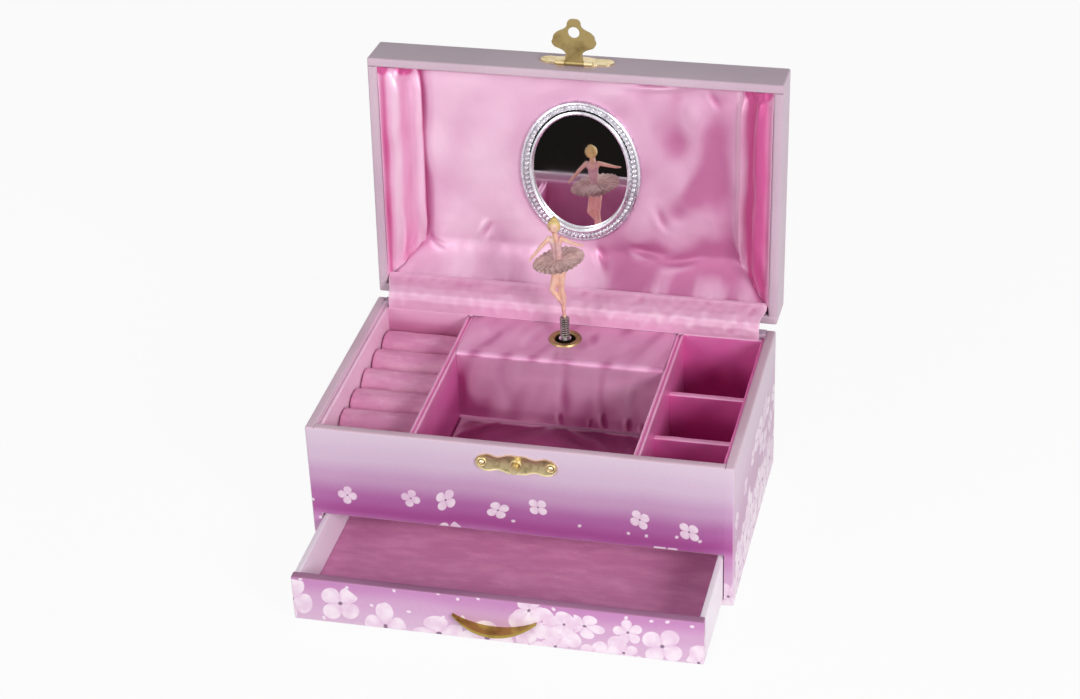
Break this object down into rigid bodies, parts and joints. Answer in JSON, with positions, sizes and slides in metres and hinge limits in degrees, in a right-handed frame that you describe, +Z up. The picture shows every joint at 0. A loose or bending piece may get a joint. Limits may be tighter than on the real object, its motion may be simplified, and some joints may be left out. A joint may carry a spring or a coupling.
{
  "type": "ballerina jewellery box",
  "caption": "Musical jewellery box with a hinged mirrored lid, a spring-mounted turning dancer, lined compartments, ring rolls, a hasp and a pull-out drawer.",
  "frame": {"origin": "centre of the case's underside, on the surface it stands on", "axes": "+X to the box's right seen from the front, +Y towards the hinges at the back, +Z up"},
  "size_m": [0.18, 0.1909, 0.2016],
  "materials": {
    "printed_board": "satin printed paper over board",
    "lilac_paper": "plain paper over board",
    "satin": "satin over card",
    "velvet": "brushed velour over foam",
    "felt": "flocked felt",
    "brass": "polished, lightly lacquered",
    "steel": "plain",
    "chrome": "bright",
    "silver_plastic": "vacuum-metallised",
    "mirror": "silvered",
    "skin_plastic": "painted",
    "tulle": "gathered net"
  },
  "bodies": {
    "case": {"base_board": "printed_board", "left_wall": "printed_board", "right_wall": "printed_board", "back_wall": "printed_board", "front_panel": "printed_board", "deck": "lilac_paper", "front_lining": "satin", "left_lining": "satin", "right_lining": "satin", "back_linings": "satin", "left_divider": "satin", "right_divider": "satin", "cross_dividers": "satin", "centre_floor": "satin", "right_floor": "satin", "platform_top": "satin", "platform_front": "satin", "hinge_cloth": "satin", "ring_rolls": "velvet", "eyelet": "brass", "catch_plate": "brass", "catch_stud": "brass", "case_nails": "brass", "case_hinge_leaves": "brass", "hinge_pins": "steel", "movement_plate": "steel", "movement_screws": "steel", "movement_brackets": "steel", "comb": "steel"},
    "lid": {"lid_top": "printed_board", "lid_front_wall": "printed_board", "lid_back_wall": "printed_board", "lid_left_wall": "printed_board", "lid_right_wall": "printed_board", "lid_lining": "satin", "lid_band_left": "satin", "lid_band_right": "satin", "mirror_frame": "silver_plastic", "mirror_glass": "mirror", "hasp_plate": "brass", "hasp_pin": "steel", "lid_nails": "brass", "lid_hinge_leaves": "brass"},
    "hasp": {"hasp_flap": "brass"},
    "drawer": {"drawer_front": "printed_board", "drawer_left_side": "lilac_paper", "drawer_right_side": "lilac_paper", "drawer_back": "lilac_paper", "drawer_bottom": "lilac_paper", "drawer_felt": "felt", "drawer_pull": "brass"},
    "barrel": {"spring_barrel": "brass", "winding_key": "steel"},
    "cylinder": {"music_cylinder": "brass"},
    "governor": {"governor_fan": "brass"},
    "spindle": {"spindle": "steel"},
    "stop": {"stop_rod": "steel"},
    "stand": {"stand_spring": "chrome"},
    "dancer": {"ballerina_figure": "skin_plastic", "tutu": "tulle"}
  },
  "joints": [
    {"name": "lid_swing", "type": "hinge", "parent": "case", "child": "lid", "pos_m": [0, 0.057, 0.06845], "axis": [1, 0, 0], "range_deg": [0, 93.5], "deforming": ["hinge_cloth"]},
    {"name": "hasp_swing", "type": "hinge", "parent": "lid", "child": "hasp", "pos_m": [0, 0.06931, 0.18211], "axis": [1, 0, 0], "range_deg": [-75, 90]},
    {"name": "drawer_slide", "type": "slide", "parent": "case", "child": "drawer", "axis": [0, 1, 0], "range_m": [-0.025, 0.045]},
    {"name": "barrel_spin", "type": "hinge", "parent": "case", "child": "barrel", "pos_m": [0, 0.05, 0.044], "axis": [0, 1, 0], "continuous": true},
    {"name": "cylinder_spin", "type": "hinge", "parent": "case", "child": "cylinder", "pos_m": [0.025, 0.037, 0.044], "axis": [1, 0, 0], "continuous": true},
    {"name": "governor_spin", "type": "hinge", "parent": "case", "child": "governor", "pos_m": [0.04, 0.037, 0.0542], "axis": [1, 0, 0], "continuous": true},
    {"name": "spindle_spin", "type": "hinge", "parent": "case", "child": "spindle", "pos_m": [0, 0.037, 0.055], "axis": [0, 0, 1], "continuous": true},
    {"name": "stop_slide", "type": "slide", "parent": "case", "child": "stop", "axis": [0, 0, 1], "range_m": [-0.0026, 0]},
    {"name": "ballerina_fold", "type": "hinge", "parent": "case", "child": "stand", "pos_m": [0, 0.037, 0.073], "axis": [1, 0, 0], "range_deg": [0, 100], "deforming": ["stand_spring"]},
    {"name": "ballerina_spin", "type": "hinge", "parent": "stand", "child": "dancer", "pos_m": [0, 0.037, 0.08], "axis": [0, 0, 1], "continuous": true}
  ],
  "couplings": [
    {"joint": "cylinder_spin", "follows": "barrel_spin", "ratio": -2},
    {"joint": "governor_spin", "follows": "barrel_spin", "ratio": 8},
    {"joint": "spindle_spin", "follows": "barrel_spin", "ratio": -2},
    {"joint": "ballerina_spin", "follows": "barrel_spin", "ratio": -2},
    {"joint": "stop_slide", "follows": "lid_swing", "m_per_rad": -0.001532},
    {"joint": "ballerina_fold", "follows": "lid_swing", "ratio": 1.0695}
  ]
}
